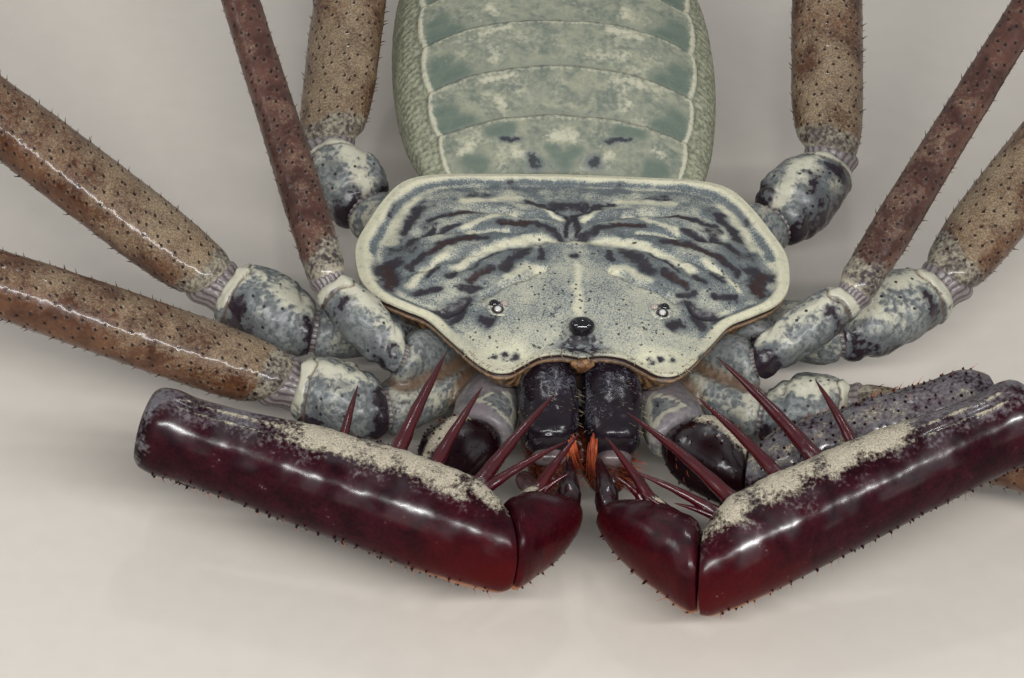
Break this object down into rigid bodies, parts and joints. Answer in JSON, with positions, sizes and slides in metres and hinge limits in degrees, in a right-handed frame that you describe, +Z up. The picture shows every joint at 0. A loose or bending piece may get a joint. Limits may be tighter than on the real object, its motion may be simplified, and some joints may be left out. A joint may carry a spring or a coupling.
{
  "type": "whip spider",
  "caption": "Life-size whip spider at rest: flat marbled head shield, spined grasping arms, six walking legs and two long thin feelers.",
  "frame": {"origin": "middle of the whole footprint, feelers included, on the floor", "axes": "+Z up; the animal faces -Y and its own left side is +X"},
  "size_m": [0.124, 0.0666, 0.0163],
  "materials": {
    "cream_plate": "satin shell plate, cream marbled with blue-grey and dark brown",
    "grey_abdomen": "matt soft skin and thin plates, grey-green with cream edges",
    "grey_underside": "smooth satin, pale grey",
    "black_eye": "high gloss, black",
    "black_jaw": "gloss black with a grey bloom",
    "maroon_palp": "gloss dark red with pale crusts",
    "mottled_hip": "satin, cream, grey and brown mottling",
    "brown_leg": "satin red-brown with pale dusting",
    "brown_feeler": "satin brown"
  },
  "bodies": {
    "root": {"carapace": "cream_plate", "hips_and_sternum": "grey_underside", "abdomen": "grey_abdomen", "eyes_median": "black_eye", "eyes_lateral_left": "black_eye", "chelicera_left": "black_jaw", "fang_left": "maroon_palp", "pedipalp_left_trochanter": "mottled_hip", "pedipalp_left_femur": "maroon_palp", "pedipalp_left_patella": "maroon_palp", "pedipalp_left_tibia": "maroon_palp", "pedipalp_left_tarsus": "maroon_palp", "leg_1_left_trochanter": "mottled_hip", "leg_1_left_femur": "brown_feeler", "leg_1_left_tibia": "brown_feeler", "leg_1_left_tarsus": "brown_feeler", "leg_2_left_trochanter": "mottled_hip", "leg_2_left_femur": "brown_leg", "leg_2_left_patella": "brown_leg", "leg_2_left_tibia": "brown_leg", "leg_2_left_tarsus": "brown_leg", "leg_3_left_trochanter": "mottled_hip", "leg_3_left_femur": "brown_leg", "leg_3_left_patella": "brown_leg", "leg_3_left_tibia": "brown_leg", "leg_3_left_tarsus": "brown_leg", "leg_4_left_trochanter": "mottled_hip", "leg_4_left_femur": "brown_leg", "leg_4_left_patella": "brown_leg", "leg_4_left_tibia": "brown_leg", "leg_4_left_tarsus": "brown_leg", "eyes_lateral_right": "black_eye", "chelicera_right": "black_jaw", "fang_right": "maroon_palp", "pedipalp_right_trochanter": "mottled_hip", "pedipalp_right_femur": "maroon_palp", "pedipalp_right_patella": "maroon_palp", "pedipalp_right_tibia": "maroon_palp", "pedipalp_right_tarsus": "maroon_palp", "leg_1_right_trochanter": "mottled_hip", "leg_1_right_femur": "brown_feeler", "leg_1_right_tibia": "brown_feeler", "leg_1_right_tarsus": "brown_feeler", "leg_2_right_trochanter": "mottled_hip", "leg_2_right_femur": "brown_leg", "leg_2_right_patella": "brown_leg", "leg_2_right_tibia": "brown_leg", "leg_2_right_tarsus": "brown_leg", "leg_3_right_trochanter": "mottled_hip", "leg_3_right_femur": "brown_leg", "leg_3_right_patella": "brown_leg", "leg_3_right_tibia": "brown_leg", "leg_3_right_tarsus": "brown_leg", "leg_4_right_trochanter": "mottled_hip", "leg_4_right_femur": "brown_leg", "leg_4_right_patella": "brown_leg", "leg_4_right_tibia": "brown_leg", "leg_4_right_tarsus": "brown_leg"}
  },
  "joints": []
}
